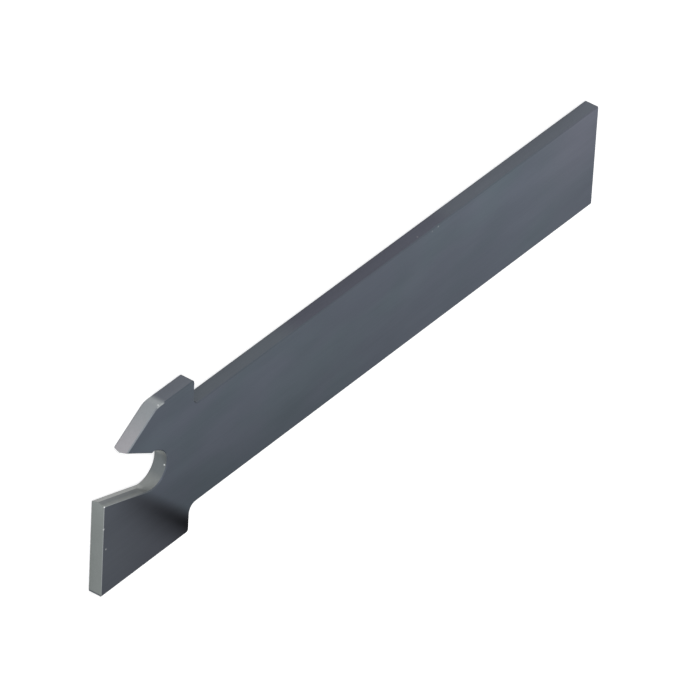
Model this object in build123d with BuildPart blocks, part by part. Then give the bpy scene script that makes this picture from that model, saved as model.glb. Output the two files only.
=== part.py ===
"""Parting blade: a flat steel blade with a pocket in its head that grips a
cut-off insert by its own spring. It lies on its side, with its length along
+X, its height along +Y and its thickness along +Z. All sizes in millimetres."""
from build123d import *
from math import cos, dist, radians, sin, sqrt, tan
import os

os.makedirs("parts", exist_ok=True)

# Blade body
blade_length = 114.3
shank_height = 17.5
blade_thickness = 2.4
end_corner_radius = 0.3
edge_break = 0.15

# Head: the jaws stand out past the shank's two long edges
head_length = 19.4
jaw_drop = 4.55
head_rise = 4.45
heel_fillet = 1.3
heel_corner_radius = 0.5
crown_corner_radius = 0.5

# Lower jaw: the seat falls inward to a round throat, which lets the upper jaw spring
seat_height = 11.15
seat_angle = 17
throat_radius = 3.1
throat_depth = 13.8

# Upper jaw: a ceiling over the throat, a small step down to the clamping edge, and a sloping brow
ceiling_length = 1.5
step_height = 0.4
step_angle = 45
clamp_angle = 29.5
tip_setback = 4.6
brow_angle = 34
brow_radius = 2.9

# V ridges on seat and clamping edge keep the insert from moving sideways
ridge_angle = 16
ridge_root = 0.3

# Both sides of the lower jaw are ground back a little, and the wheel leaves a long hollow run-out
relief_depth = 0.08
relief_angle = 44
wheel_radius = 90

# The blade's own frame: centre of its outline, on the side that it lies on
crown_height = shank_height + head_rise
head_height = jaw_drop + crown_height
side = Plane(origin=(-blade_length / 2, head_height / 2 - crown_height, 0))


def heading(angle):
    """The unit direction in the blade's side at an angle in degrees from its length."""
    return Vector(cos(radians(angle)), sin(radians(angle)), 0)


# Throat: an arc tangent to the seat below it and to the ceiling above it
throat_x = throat_depth - throat_radius
throat_y = seat_height - throat_x * tan(radians(seat_angle)) + throat_radius / cos(radians(seat_angle))
throat_centre = Vector(throat_x, throat_y)
seat_front = Vector(0, seat_height)
seat_end = throat_centre + heading(-90 - seat_angle) * throat_radius
ceiling_end = throat_centre + heading(90 - clamp_angle) * throat_radius

# Clamping edge: parallel to the ceiling, a step lower, out to the tip
step_top = ceiling_end - heading(-clamp_angle) * ceiling_length
clamp_end = step_top - heading(step_angle - clamp_angle) * (step_height / sin(radians(step_angle)))
clamp_length = (clamp_end.X - tip_setback) / cos(radians(clamp_angle))
tip = clamp_end - heading(-clamp_angle) * clamp_length
brow_top = Vector(tip.X + (crown_height - tip.Y) / tan(radians(brow_angle)), crown_height)

# The outline from the throat's upper end round to its lower end: each corner and its radius
corners = [
    (step_top, 0),
    (clamp_end, 0),
    (tip, 0),
    (brow_top, brow_radius),
    ((head_length, crown_height), crown_corner_radius),
    ((head_length, shank_height), heel_fillet),
    ((blade_length, shank_height), end_corner_radius),
    ((blade_length, 0), end_corner_radius),
    ((head_length, 0), heel_fillet),
    ((head_length, -jaw_drop), heel_corner_radius),
    ((0, -jaw_drop), 0),
    (seat_front, 0),
]

# Each ridge starts flush with the jaw's front face and ends with the edge that it stands on
ridge_width = blade_thickness - 2 * edge_break
ridge_height = ridge_width / 2 * tan(radians(ridge_angle))


def ridge_start(corner, out_angle):
    """The plane of a jaw's front face at the ridge: x across the blade, y out of the jaw."""
    origin = side.from_local_coords(corner + Vector(0, 0, blade_thickness / 2))
    return Plane(origin=origin, x_dir=(0, 0, 1), z_dir=heading(out_angle + 90))


def ridge_section(height):
    """Half-buried section of a ridge with its crest at the given height in the sketch's plane."""
    Polygon(
        (-ridge_width / 2, -ridge_root),
        (ridge_width / 2, -ridge_root),
        (ridge_width / 2, 0),
        (0, height),
        (-ridge_width / 2, 0),
        align=None,
    )


# Run-out of the side relief, seen along the line where the grinding stops
run_out = sqrt(2 * wheel_radius * relief_depth - relief_depth**2)
relief_reach = head_length + head_height
relief_plane = Plane(
    origin=side.from_local_coords(seat_end + Vector(0, 0, blade_thickness / 2)),
    x_dir=heading(-relief_angle - 90),
    z_dir=heading(180 - relief_angle),
)

with BuildPart() as blade:
    # Blank with its pocket
    with BuildSketch(side):
        with BuildLine():
            throat = CenterArc(
                throat_centre, throat_radius, -90 - seat_angle, 180 + seat_angle - clamp_angle
            )
            FilletPolyline(
                throat @ 1,
                *[point for point, radius in corners],
                throat @ 0,
                radius=[radius for point, radius in corners],
            )
        make_face()
    extrude(amount=blade_thickness)

    # Broken edges round both sides
    chamfer(blade.faces().filter_by(Axis.Z).edges(), edge_break)

    # Side relief of the lower jaw
    with BuildSketch(relief_plane):
        with BuildLine():
            face_line = blade_thickness / 2
            ground_line = face_line - relief_depth
            TangentArc((run_out, ground_line), (0, face_line), tangent=(-1, 0))
            Polyline(
                (0, face_line),
                (0, blade_thickness),
                (relief_reach, blade_thickness),
                (relief_reach, ground_line),
                (run_out, ground_line),
            )
        make_face()
        mirror(about=Plane.XZ)
    extrude(amount=relief_reach, both=True, mode=Mode.SUBTRACT)

    # Ridge on the seat
    with BuildSketch(ridge_start(seat_front, 90)):
        ridge_section(ridge_height / cos(radians(seat_angle)))
    extrude(amount=dist(seat_front, seat_end), dir=heading(-seat_angle))

    # The throat is cut once more through the ridge, which so runs out along the round wall
    with BuildSketch(side):
        with Locations(throat_centre):
            Circle(throat_radius)
    extrude(amount=blade_thickness, mode=Mode.SUBTRACT)

    # Ridge under the upper jaw
    with BuildSketch(ridge_start(tip, 180 + brow_angle)):
        ridge_section(ridge_height / sin(radians(brow_angle + clamp_angle)))
    extrude(amount=clamp_length, dir=heading(-clamp_angle))

blade.part.label = "blade"
export_step(blade.part, "parts/blade.step")
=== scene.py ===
# %% [markdown]
# # A parting blade, dressed in ground steel
#
# This lesson starts from a finished solid: a flat steel blade whose head has two jaws
# and a round throat. The solid is already right, so nothing is modelled over it. What is
# left to do is what the eye notices next: how each face was cut, how the grinding wheel
# left it, and how soft studio light runs over it.

# %% Load the blade
import math

import bpy
import numpy as np
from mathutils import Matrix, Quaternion, Vector


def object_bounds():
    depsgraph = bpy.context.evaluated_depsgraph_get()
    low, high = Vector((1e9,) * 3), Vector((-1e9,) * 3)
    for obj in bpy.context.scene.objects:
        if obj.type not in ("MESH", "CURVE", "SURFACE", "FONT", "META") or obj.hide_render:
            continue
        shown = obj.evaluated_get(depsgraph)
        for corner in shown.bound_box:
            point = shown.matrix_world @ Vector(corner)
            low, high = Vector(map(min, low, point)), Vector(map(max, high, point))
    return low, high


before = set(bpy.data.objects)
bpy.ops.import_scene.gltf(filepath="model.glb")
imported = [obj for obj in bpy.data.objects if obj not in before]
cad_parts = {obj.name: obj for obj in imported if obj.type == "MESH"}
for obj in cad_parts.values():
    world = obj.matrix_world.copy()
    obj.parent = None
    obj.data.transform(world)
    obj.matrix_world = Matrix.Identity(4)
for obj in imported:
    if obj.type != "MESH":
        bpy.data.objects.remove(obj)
cad_low, cad_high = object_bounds()
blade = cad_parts["blade"]
print("blade, in millimetres:", [round(1000 * side, 2) for side in cad_high - cad_low])

# %% [markdown]
# ## Landmarks
#
# A finish that changes from place to place needs to know where the places are. Here they
# are read from the blade's own mesh instead of being typed in. The shank's two long edges
# come from the plain end, the head's rear wall from the points that lie above the shank,
# and the throat's rear from the points between the jaws. When the solid changes, the
# pattern stays on its feature.

# %% Read the landmarks from the mesh
millimetre = 0.001
points = np.empty(3 * len(blade.data.vertices), np.float32)
blade.data.vertices.foreach_get("co", points)
points = points.reshape(-1, 3).astype(float)
along, height = points[:, 0], points[:, 1]

front, far_end = cad_low.x, cad_high.x
heel_low, crown_high = cad_low.y, cad_high.y
shank_low = height[along > far_end - 5 * millimetre].min()
shank_high = height[along > far_end - 5 * millimetre].max()
head_back = along[height > shank_high + 3 * millimetre].max()
seat_high = height[along < front + 0.01 * millimetre].max()
between_jaws = (height > seat_high - 4 * millimetre) & (height < shank_high - 2 * millimetre)
throat_back = along[between_jaws & (along < head_back - millimetre)].max()
tip_front = along[height > shank_high].min()
crown_front = along[height > crown_high - 0.2 * millimetre].min()

for name, value in (
    ("head's rear wall", head_back), ("throat's rear", throat_back),
    ("upper jaw's tip", tip_front), ("crown's front", crown_front),
):
    print(name, "is", round((value - front) / millimetre, 2), "mm behind the lower jaw's front")
seat_above = round((seat_high - shank_low) / millimetre, 2)
print("seat's front is", seat_above, "mm above the shank's lower edge")

# %% [markdown]
# ## The steel
#
# The blade is one piece of hardened steel, and its history shows in its surfaces. The
# sides and the long edges were ground flat, then darkened in hot salts to a satin
# blue-grey. After that the front, the pocket and the brow were ground to size, so these
# walls are lighter and more neutral. Last, both sides of the lower jaw were ground back a
# little. Where that wheel ran out, painted shade lies in a dark band with soft borders from
# the inner end of the seat down to the heel, and other faces carry painted light and shade.
#
# Each face could have a material of its own. But the band crosses a flat side with no edge
# to stop at, and the front's light grey ends half way round a bend. So everything is one
# material here, and soft masks say which finish shows where.
#
# A node tree written out link by link is long and hard to read. Four small helpers shorten
# it: one makes an empty material, one fills a socket with a number or with another node's
# output, and two do arithmetic.

# %% Helpers for building a node tree
def new_material(name):
    """An empty node material, with its shader and output joined."""
    material = bpy.data.materials.new(name)
    material.use_nodes = True
    tree = material.node_tree
    tree.nodes.clear()
    output = tree.nodes.new("ShaderNodeOutputMaterial")
    shader = tree.nodes.new("ShaderNodeBsdfPrincipled")
    tree.links.new(shader.outputs["BSDF"], output.inputs["Surface"])
    return material, tree, shader


def feed(tree, socket, value):
    """Joins a socket to another node's output, or sets it to a plain value."""
    if isinstance(value, bpy.types.NodeSocket):
        tree.links.new(value, socket)
    else:
        socket.default_value = value


def calculate(tree, operation, *values):
    """One Math node. Values are numbers or the outputs of other nodes."""
    node = tree.nodes.new("ShaderNodeMath")
    node.operation = operation
    for socket, value in zip(node.inputs, values):
        feed(tree, socket, value)
    return node.outputs["Value"]


def product(tree, first, *others):
    """All values multiplied: as masks, the place where all of them are 1."""
    for other in others:
        first = calculate(tree, "MULTIPLY", first, other)
    return first


helpers = (new_material, feed, calculate, product)
print("helpers for the node tree:", *(helper.__name__ for helper in helpers))

# %% [markdown]
# ### Soft steps and grain
#
# Masks and tones all come from one shape: a soft step. A Map Range node with a smooth
# border makes it, and two steps back to back make a strip. Large soft noise makes tones
# uneven, and the same noise squeezed thin across the blade makes grinding marks. All of it
# is worked out in the blade's own coordinates, so it has a real size in millimetres and
# needs neither an unwrapped surface nor a picture.

# %% Steps, strips, blends and grain
def ramp(tree, value, start, end, low=0.0, high=1.0):
    """A soft step from low to high while value goes from start to end, level outside them."""
    node = tree.nodes.new("ShaderNodeMapRange")
    node.interpolation_type = "SMOOTHSTEP"
    for socket, number in zip(node.inputs, (value, start, end, low, high)):
        feed(tree, socket, number)
    return node.outputs["Result"]


def strip(tree, value, start, end, soft):
    """1 where value lies between start and end, with borders that fade over twice soft."""
    return product(
        tree,
        ramp(tree, value, start - soft, start + soft),
        ramp(tree, value, end + soft, end - soft),
    )


def blend(tree, factor, first, second):
    """First colour at factor 0, second at 1."""
    node = tree.nodes.new("ShaderNodeMix")
    node.data_type = "RGBA"
    feed(tree, node.inputs["Factor"], factor)
    feed(tree, node.inputs[6], first)
    feed(tree, node.inputs[7], second)
    return node.outputs[2]


def grain(tree, place, size, detail=3):
    """Noise with features about as long as size says along X, Y and Z; mostly near 0.5."""
    mapping = tree.nodes.new("ShaderNodeMapping")
    mapping.inputs["Scale"].default_value = [1 / length for length in size]
    feed(tree, mapping.inputs["Vector"], place)
    noise = tree.nodes.new("ShaderNodeTexNoise")
    noise.inputs["Scale"].default_value = 1
    noise.inputs["Detail"].default_value = detail
    feed(tree, noise.inputs["Vector"], mapping.outputs["Vector"])
    return noise.outputs["Fac"]


print("helpers for patterns:", *(helper.__name__ for helper in (ramp, strip, blend, grain)))

# %% [markdown]
# ### Colours
#
# Colours are noted as they look on a screen, and Blender works in linear light, so one
# helper turns one into the other with the usual sRGB curve. The darkened steel leans to
# blue, with a breath of violet where the salts bit a little deeper, and the walls that were
# ground last are nearly neutral. A metal's base colour is also the colour of what it
# reflects, so these are darker than bare steel would be.

# %% Colours of the steel
def seen_as(red, green, blue):
    """The linear colour of an 8-bit screen colour, by the sRGB curve."""
    screen = np.array([red, green, blue]) / 255
    linear = np.where(screen <= 0.04045, screen / 12.92, ((screen + 0.055) / 1.055) ** 2.4)
    return (*linear.tolist(), 1)


side_blue = seen_as(76, 84, 91)
side_violet = seen_as(80, 84, 94)
# Painted light: the lighter violet of the plain end
lit_end_violet = seen_as(82, 85, 94)
edge_blue = seen_as(86, 91, 97)
# Painted shade for the middle of the long edges
edge_shade_violet = seen_as(79, 81, 90)
crown_blue = seen_as(95, 99, 106)
# Painted shade on the lower jaw's side, darker towards the heel
jaw_shade_blue = seen_as(77, 81, 88)
heel_shade_blue = seen_as(71, 74, 81)
# Near-black painted shade, for the band in the wheel's run-out and the lower side near the head
painted_shade_dark = seen_as(10, 11, 15)
front_grey = seen_as(130, 135, 134)
seat_grey = seen_as(146, 149, 148)
# Painted light and shade for the seat's two flanks
lit_flank_grey = seen_as(170, 172, 171)
shaded_flank_grey = seen_as(131, 134, 136)
throat_grey = seen_as(116, 121, 123)
# Painted light, towards the brow's tip
lit_tip_grey = seen_as(147, 146, 150)
brow_grey = seen_as(133, 137, 140)
# Painted highlight, for the brow's bend and under the throat's ceiling
bend_highlight_grey = seen_as(172, 176, 175)
# Painted highlight on the broken edges
edge_highlight_grey = seen_as(184, 189, 188)
bare_nick = seen_as(235, 238, 238)
print("side, as linear light:", [round(part, 3) for part in side_blue[:3]])

# %% [markdown]
# ### Where each finish lies
#
# A mask asks two things: where is this point, and which way does its surface face? Walls
# are the surfaces that face sideways, and broken edges are those that face half sideways
# and half up. The Texture Coordinate node gives both the place and the facing in the
# blade's own frame, so the finish stays on the steel however the blade is turned.
#
# The band is a straight line across the lower jaw. The distance from a point to that line
# is its dot product with the line's normal, less a constant: positive on the jaw's side,
# negative on the shank's.

# %% Distance from a line
band_angle = math.radians(-42.6)
band_start = Vector((front + 7 * millimetre, shank_low + 7.9 * millimetre))


def distance_past(tree, x, y, start, angle):
    """Distance in the blade's side from a line through start, positive to its lower left."""
    across = product(tree, calculate(tree, "SUBTRACT", x, start.x), math.sin(angle))
    up = product(tree, calculate(tree, "SUBTRACT", y, start.y), math.cos(angle))
    return calculate(tree, "SUBTRACT", across, up)


band_from_corner = (band_start - Vector((front, shank_low))) / millimetre
print("band starts", [round(part, 1) for part in band_from_corner], "mm from the jaw's front and")
print("the shank's lower edge, and falls by", round(-math.degrees(band_angle), 1), "degrees")

# %% [markdown]
# ### The flat sides
#
# Three layers lie over each other here. The lowest is the darkened side, which drifts from
# blue to violet in patches as wide as a finger. Painted light makes it lighter at the plain
# end, and painted shade darkens it towards the lower edge near the head. Over it lies the
# ground lower jaw, painted darker as shade, and darker still towards its back. On top comes
# the band itself, painted shade for the wheel's run-out, where a hollow surface turns the
# light away: a quick start on the shank's side, where the wheel first touched, and a long
# fade on the jaw's side. It deepens towards the heel.

# %% Masks for the flat sides
patch_size = (0.012, 0.006, 0.006)


def side_colours(tree, place, x, y):
    """The flat sides: blue-grey, painted lighter at the plain end, painted shade on the lower jaw,
    darkest painted shade in the wheel's run-out.
    """
    patches = grain(tree, place, patch_size, detail=1)
    temper = ramp(tree, patches, 0.3, 0.7, 0.1, 0.7)
    side = blend(tree, temper, side_blue, side_violet)
    # Painted light: lighter towards the plain end, most on its upper part
    near_end = product(
        tree,
        ramp(tree, x, far_end - 20 * millimetre, far_end - 4 * millimetre),
        ramp(tree, y, shank_low + 3 * millimetre, shank_low + 13 * millimetre, 0.35, 1.0),
    )
    side = blend(tree, near_end, side, lit_end_violet)
    # Painted shade: darker towards the lower edge, more towards the head
    painted_low_shade = product(
        tree,
        ramp(tree, x, front + 75 * millimetre, front + 25 * millimetre),
        ramp(tree, y, shank_low + 9 * millimetre, shank_low, 0.0, 0.12),
    )
    side = blend(tree, painted_low_shade, side, painted_shade_dark)
    inside_head = ramp(tree, x, head_back + 2.5 * millimetre, head_back)
    past = distance_past(tree, x, y, band_start, band_angle)
    jaw = product(tree, inside_head, ramp(tree, past, -2.4 * millimetre, -0.4 * millimetre))
    # More than 1 at the heel, because the start and the fade below never reach 1 together
    toward_heel = ramp(tree, x, front - 3 * millimetre, front + 24 * millimetre, 0.0, 1.6)
    # Painted shade: the band where the wheel's run-out hollow turns the light away
    run_out_shade = product(
        tree, inside_head, toward_heel,
        ramp(tree, past, -2.7 * millimetre, 0.4 * millimetre),
        ramp(tree, past, 5.4 * millimetre, -3.3 * millimetre),
    )
    # Painted shade: the lower jaw darker, and darker still towards its back
    toward_back = ramp(tree, x, front, front + 14 * millimetre)
    colour = blend(tree, jaw, side, blend(tree, toward_back, jaw_shade_blue, heel_shade_blue))
    return blend(tree, run_out_shade, colour, painted_shade_dark)


patch_length = round(patch_size[0] / millimetre, 1)
print("patches on the sides are about", patch_length, "mm long")

# %% [markdown]
# ### The walls
#
# The walls run right round the outline, so their masks are soft steps along X and Y. The
# long edges are darkened like the sides, with painted shade a little deeper in the middle of
# the shank. The front face and the seat are light and neutral. The seat carries a low V
# ridge whose flanks carry painted light and shade: the lower one bright, the upper one dull
# along the crest, with a painted highlight towards the edge. Near the throat the two even
# out. The round throat itself is greyer, with a painted highlight under its ceiling. The
# brow is painted lighter towards its tip and is bright up to the bend, which holds a painted
# highlight, and there the crown's blue begins.

# %% Masks for the walls
def above_shank(tree, y):
    """1 on the part of the upper jaw that stands out past the shank."""
    return ramp(tree, y, shank_high + 0.02 * millimetre, shank_high + 0.12 * millimetre)


def wall_colours(tree, axes, facing_y):
    """The walls: darkened long edges and crown, lighter front, pocket and brow, with painted light,
    shade and highlights on parts of them.
    """
    x, y, z = axes
    # Painted shade: the long edges darker in the middle of the shank, and a little on towards the
    # plain end
    shaded_mid_shank = strip(tree, x, far_end - 72 * millimetre, far_end - 36 * millimetre, 3 * millimetre)
    beyond = ramp(tree, x, far_end - 45 * millimetre, far_end - 36 * millimetre, 0.0, 0.3)
    colour = blend(tree, calculate(tree, "MAXIMUM", shaded_mid_shank, beyond), edge_blue, edge_shade_violet)
    before_throat = ramp(tree, x, throat_back + 0.3 * millimetre, throat_back)
    above_heel = ramp(tree, y, heel_low + 0.1 * millimetre, heel_low + 0.4 * millimetre)
    colour = blend(tree, product(tree, before_throat, above_heel), colour, front_grey)
    pocket = product(
        tree, before_throat,
        ramp(tree, x, front + 0.01 * millimetre, front + 0.1 * millimetre),
        above_heel,
    )
    throat = product(
        tree,
        ramp(tree, x, throat_back - 4 * millimetre, throat_back - 2 * millimetre),
        strip(
            tree, y, seat_high - 2.9 * millimetre, seat_high + 0.5 * millimetre, 0.7 * millimetre
        ),
    )
    # Painted light and shade on the seat's ridge: lower flank lit, upper flank shaded, with a
    # painted highlight near its edge and near the throat
    crest = (cad_low.z + cad_high.z) / 2
    lower_flank = ramp(tree, z, crest + 0.1 * millimetre, crest - 0.1 * millimetre)
    near_edge = ramp(tree, z, crest + 0.45 * millimetre, crest + 0.9 * millimetre)
    near_throat = ramp(tree, x, throat_back - 7 * millimetre, throat_back - 4.5 * millimetre)
    clear = calculate(tree, "MAXIMUM", near_edge, near_throat)
    upper_flank = blend(tree, clear, shaded_flank_grey, seat_grey)
    flanks = blend(tree, lower_flank, upper_flank, lit_flank_grey)
    on_seat = product(
        tree,
        ramp(tree, facing_y, 0.4, 0.8),
        ramp(tree, x, throat_back - 3.3 * millimetre, throat_back - 4.3 * millimetre),
    )
    seat = blend(tree, on_seat, seat_grey, flanks)
    pocket_wall = blend(tree, throat, seat, throat_grey)
    # Painted highlight under the throat's ceiling
    under_ceiling = ramp(
        tree, y, seat_high + 0.2 * millimetre, seat_high + 1.4 * millimetre, 0.0, 0.8
    )
    pocket_wall = blend(tree, under_ceiling, pocket_wall, bend_highlight_grey)
    colour = blend(tree, pocket, colour, pocket_wall)
    upper = above_shank(tree, y)
    # Painted light: the brow lighter towards its tip
    up_the_brow = ramp(tree, x, tip_front, crown_front)
    colour = blend(tree, upper, colour, blend(tree, up_the_brow, lit_tip_grey, brow_grey))
    # Painted highlight on the brow's bend
    bend = strip(
        tree, x, crown_front + 0.4 * millimetre, crown_front + 1.6 * millimetre, 0.4 * millimetre
    )
    colour = blend(tree, product(tree, upper, bend, 0.15), colour, bend_highlight_grey)
    crown = ramp(tree, x, crown_front + 1.0 * millimetre, crown_front + 2.3 * millimetre)
    return blend(tree, product(tree, upper, crown), colour, crown_blue)


crown_above = round((crown_high - shank_high) / millimetre, 2)
print("the crown stands", crown_above, "mm above the shank")

# %% [markdown]
# ### Nicks
#
# A blade that has been in and out of tool blocks carries a few nicks: bright dots a quarter
# of a millimetre wide, nearly all on an edge. Random ones would be quick to make, but on a
# plain blade each one is seen, so these are placed one by one. Each is a small ball in space,
# and steel inside the ball is bare: the mask asks how far a point is from the ball's centre.

# %% A few nicks
nick_radius = 0.2 * millimetre
nicks = [
    # Millimetres behind the lower jaw's front, above the shank's lower edge and below the
    # upper side, then how bare it is
    (13.76, 10.3, 0.4, 1.0),
    (0.1, 11.1, 0.1, 0.9),
    (0.1, 7.2, 0.1, 0.4),
    (0.7, 3.4, 0.0, 0.4),
    (11.6, 21.85, 0.3, 0.55),
    (75.5, 17.2, 0.0, 0.12),
    (74.1, 17.1, 0.0, 0.07),
    (71.2, 17.5, 0.5, 0.07),
]


def nick_mask(tree, place):
    """How bare the steel is where it was nicked: the strongest of all nicks at a point."""
    mask = 0.0
    for nick_along, nick_height, nick_depth, bareness in nicks:
        centre = Vector((front, shank_low, cad_high.z))
        centre += millimetre * Vector((nick_along, nick_height, -nick_depth))
        apart = tree.nodes.new("ShaderNodeVectorMath")
        apart.operation = "DISTANCE"
        feed(tree, apart.inputs[0], place)
        feed(tree, apart.inputs[1], centre)
        spot = ramp(tree, apart.outputs["Value"], nick_radius, 0.4 * nick_radius, 0.0, bareness)
        mask = calculate(tree, "MAXIMUM", mask, spot)
    return mask


print(len(nicks), "nicks")

# %% [markdown]
# ### One material from the masks
#
# Tones multiply the colour a little up or down. Two are painted light that runs slowly
# along the blade and up it: lighter at the plain end and the upper edge. A cloud as wide as a
# finger and marks as thin as a hair keep the sides from looking like plastic. The same marks,
# as a bump of two hundredths of a millimetre, break up the highlights.
#
# Flatness tells the faces apart: how far a surface faces the table or away from it. It is 1
# on the sides, 0.7 on the broken edges and 0 on the walls. Broken edges get painted
# highlights, most at the lower jaw's front and at the brow's bend: a narrow mask between
# flat and wall turns them light there. Elsewhere they keep the colour of their side.
#
# The shader is almost fully metal. A little less than full metal and a weak clear share keep
# the band's painted shade dark when it is seen at a low angle, where every metal turns into a
# mirror.

# %% The blade's steel
cloud_size = (0.03, 0.009, 0.009)
mark_size = (0.012, 0.00022, 0.00022)
smudge_size = (0.02, 0.006, 0.006)
mark_depth = 0.02 * millimetre
mark_strength = 0.15
metal_share = 0.92
clear_share = 0.2


def painted_edge_highlights(tree, x, y, flatness, facing_y):
    """Painted highlights on the broken edges: most at the lower jaw's front and at the brow's bend.
    """
    edge = strip(tree, flatness, 0.62, 0.85, 0.05)
    not_below = ramp(tree, facing_y, -0.4, -0.2)
    lower_jaw = ramp(tree, x, throat_back - millimetre, front + 2 * millimetre, 0.02, 0.55)
    ceiling = product(
        tree,
        ramp(tree, y, seat_high, seat_high + millimetre, 0.0, 0.14),
        ramp(tree, x, throat_back + 0.3 * millimetre, throat_back),
    )
    lower = calculate(tree, "MAXIMUM", lower_jaw, ceiling)
    brow = ramp(tree, x, crown_front + 1.5 * millimetre, crown_front, 0.02, 0.2)
    bend = strip(
        tree, x, crown_front + 0.1 * millimetre, crown_front + 1.6 * millimetre, 0.3 * millimetre
    )
    upper = calculate(tree, "MAXIMUM", brow, product(tree, bend, 0.6))
    return product(tree, edge, blend(tree, above_shank(tree, y), lower, upper), not_below)


def ground_steel():
    """Darkened sides, lighter cut walls, painted light and shade, and painted highlights on the
    broken edges in one material.
    """
    material, tree, shader = new_material("ground tool steel")
    coordinates = tree.nodes.new("ShaderNodeTexCoord")
    place = coordinates.outputs["Object"]
    axes, facing = (tree.nodes.new("ShaderNodeSeparateXYZ") for _ in range(2))
    feed(tree, axes.inputs["Vector"], place)
    feed(tree, facing.inputs["Vector"], coordinates.outputs["Normal"])
    x, y = axes.outputs["X"], axes.outputs["Y"]
    facing_y = facing.outputs["Y"]
    flatness = calculate(tree, "ABSOLUTE", facing.outputs["Z"])

    wall = ramp(tree, flatness, 0.7, 0.5)
    side_colour = side_colours(tree, place, x, y)
    colour = blend(tree, wall, side_colour, wall_colours(tree, axes.outputs, facing_y))
    # Painted highlights on the broken edges
    colour = blend(tree, painted_edge_highlights(tree, x, y, flatness, facing_y), colour, edge_highlight_grey)
    colour = blend(tree, nick_mask(tree, place), colour, bare_nick)

    # The first two tones are painted light, lighter towards the plain end and the upper edge; the
    # cloud is random
    tone = product(
        tree,
        ramp(tree, x, front + 45 * millimetre, far_end, 0.96, 1.17),
        ramp(tree, y, shank_low - millimetre, shank_high + millimetre, 0.89, 1.09),
        ramp(tree, grain(tree, place, cloud_size), 0.3, 0.7, 0.97, 1.03),
    )
    marks = grain(tree, place, mark_size, detail=4)
    tone = product(tree, tone, ramp(tree, marks, 0.25, 0.75, 0.97, 1.03))
    shade = tree.nodes.new("ShaderNodeVectorMath")
    shade.operation = "SCALE"
    feed(tree, shade.inputs["Vector"], colour)
    feed(tree, shade.inputs["Scale"], tone)
    feed(tree, shader.inputs["Base Color"], shade.outputs["Vector"])

    smudge = grain(tree, place, smudge_size)
    feed(tree, shader.inputs["Roughness"], ramp(tree, smudge, 0.3, 0.7, 0.42, 0.5))
    bump = tree.nodes.new("ShaderNodeBump")
    bump.inputs["Strength"].default_value = mark_strength
    bump.inputs["Distance"].default_value = mark_depth
    feed(tree, bump.inputs["Height"], marks)
    feed(tree, shader.inputs["Normal"], bump.outputs["Normal"])
    shader.inputs["Metallic"].default_value = metal_share
    shader.inputs["Specular Tint"].default_value = (0.5, 0.5, 0.5, 1)
    shader.inputs["Specular IOR Level"].default_value = clear_share
    return material


blade.data.materials.clear()
blade.data.materials.append(ground_steel())
print("material on the blade:", blade.data.materials[0].name)

# %% [markdown]
# ## The table
#
# The blade lies on a pale table. The table is lit like anything else and so catches the
# blade's shadow. A little light of its own, which only the camera, mirror-like surfaces and
# glass see, lifts it to plain white without adding any light to the steel. The Light Path
# node tells these rays apart from those that carry light from thing to thing.

# %% Table top
table_grey = 0.8
table_glow = 0.5
table_reach = 4.0


def white_where_seen(tree, lighting, seen_strength):
    """A light's strength: one where it lights things, one for eye, reflections and glass."""
    path = tree.nodes.new("ShaderNodeLightPath").outputs
    seen = calculate(tree, "MAXIMUM", path["Is Camera Ray"], path["Is Glossy Ray"])
    seen = calculate(tree, "MAXIMUM", seen, path["Is Transmission Ray"])
    return ramp(tree, seen, 0.0, 1.0, lighting, seen_strength)


def table_material():
    """Pale matt table: a lit surface plus a light of its own that only eye and mirrors see."""
    material, tree, shader = new_material("pale table")
    shader.inputs["Base Color"].default_value = (table_grey, table_grey, table_grey, 1)
    shader.inputs["Roughness"].default_value = 1.0
    shader.inputs["Specular IOR Level"].default_value = 0.0
    shader.inputs["Emission Color"].default_value = (1, 1, 1, 1)
    feed(tree, shader.inputs["Emission Strength"], white_where_seen(tree, 0.0, table_glow))
    return material


table_mesh = bpy.data.meshes.new("table")
corners = table_reach * np.array([(-1, -1, 0), (1, -1, 0), (1, 1, 0), (-1, 1, 0)])
table_mesh.from_pydata(corners.tolist(), [], [(0, 1, 2, 3)])
table = bpy.data.objects.new("table", table_mesh)
bpy.context.scene.collection.objects.link(table)
table_mesh.materials.append(table_material())
print("table, in metres:", 2 * table_reach, "by", 2 * table_reach)

# %% [markdown]
# ## The room
#
# The room round the table is a white world. It looks fully white, but lights the blade at
# about half of that, so that the lamps can still shape it. The same Light Path trick as on
# the table gives it two strengths.

# %% White room
world_light = 0.55
world = bpy.data.worlds.new("studio")
bpy.context.scene.world = world
world.use_nodes = True
background = world.node_tree.nodes["Background"]
background.inputs["Color"].default_value = (1, 1, 1, 1)
strength = white_where_seen(world.node_tree, world_light, 1.0)
feed(world.node_tree, background.inputs["Strength"], strength)
print("the room lights the blade at", world_light, "of white")

# %% [markdown]
# ## Lamps
#
# Ground steel shows its shape by what it reflects, so the lamps are large squares: each one
# is mirrored as a soft patch, never as a point. The first stands beyond the head and lights
# the front face and the throat. The second stands over the brow's side, to the left of the
# camera, and lifts the brow and the long edge. The last is small and close to the plain
# end, and makes that end a little lighter than the middle.

# %% Soft boxes round the blade
def from_place(azimuth, elevation):
    """The direction of something at azimuth from +X towards +Y and elevation above the table."""
    turn, lift = math.radians(azimuth), math.radians(elevation)
    level = math.cos(lift)
    return Vector((math.cos(turn) * level, math.sin(turn) * level, math.sin(lift)))


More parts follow.
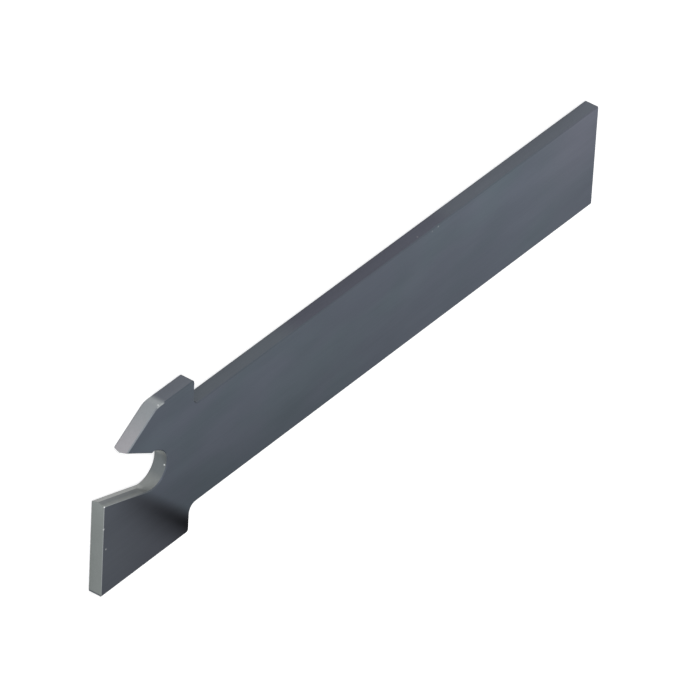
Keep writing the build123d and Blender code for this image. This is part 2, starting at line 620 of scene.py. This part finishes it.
def soft_box(name, aim, azimuth, elevation, distance, size, power):
    """A square lamp that looks at its aim, with sizes in metres and power in watts."""
    direction = from_place(azimuth, elevation)
    light = bpy.data.lights.new(name, "AREA")
    light.size = size
    light.energy = power
    lamp = bpy.data.objects.new(name, light)
    lamp.location = aim + distance * direction
    lamp.rotation_euler = direction.to_track_quat("Z", "Y").to_euler()
    bpy.context.scene.collection.objects.link(lamp)
    return lamp


middle = Vector((0, 0, 0))
plain_end = Vector((far_end, 0, 0))
lamps = [
    soft_box("head side", middle, azimuth=180, elevation=30, distance=1, size=0.5, power=2),
    soft_box("brow side", middle, azimuth=115, elevation=35, distance=1, size=0.5, power=4),
    soft_box(
        "plain end", plain_end, azimuth=-43, elevation=28, distance=0.3, size=0.2, power=0.11
    ),
]
for lamp in lamps:
    watts, width = round(lamp.data.energy, 2), round(lamp.data.size, 2)
    print(lamp.name, "lamp:", watts, "watts,", width, "m wide")

# %% [markdown]
# ## The camera
#
# The blade lies flat, but the view shows it standing on its jaw, as a sales picture would.
# Nothing has to be tilted for that: the camera looks down at the blade from 28 degrees above
# the table and is rolled about its own line of sight by more than a right angle. A long lens
# from a little over a metre away keeps the long edges almost parallel. These numbers were
# worked out from the blade's outline: they are the view in which the solid's outline and
# the photographed one fall together.

# %% Camera
def look(target, azimuth, elevation, distance, roll, lens):
    """A camera that looks at target from a place, rolled about its line of sight."""
    direction = from_place(azimuth, elevation)
    view = bpy.data.cameras.new("camera")
    view.sensor_width = 36
    view.lens = lens
    view.clip_start, view.clip_end = 0.05, 50
    camera = bpy.data.objects.new("camera", view)
    camera.location = target + distance * direction
    camera.rotation_mode = "QUATERNION"
    roll_turn = Quaternion((0, 0, 1), math.radians(roll))
    camera.rotation_quaternion = direction.to_track_quat("Z", "Y") @ roll_turn
    bpy.context.scene.collection.objects.link(camera)
    bpy.context.scene.camera = camera
    return camera


camera = look(
    target=Vector((0.00014, -0.003704, 0.0012)),
    azimuth=137.4474,
    elevation=27.7524,
    distance=1.21567,
    roll=116.3367,
    lens=441.147,
)
bpy.context.scene.view_settings.view_transform = "Standard"
print("camera, in metres:", [round(part, 3) for part in camera.location])
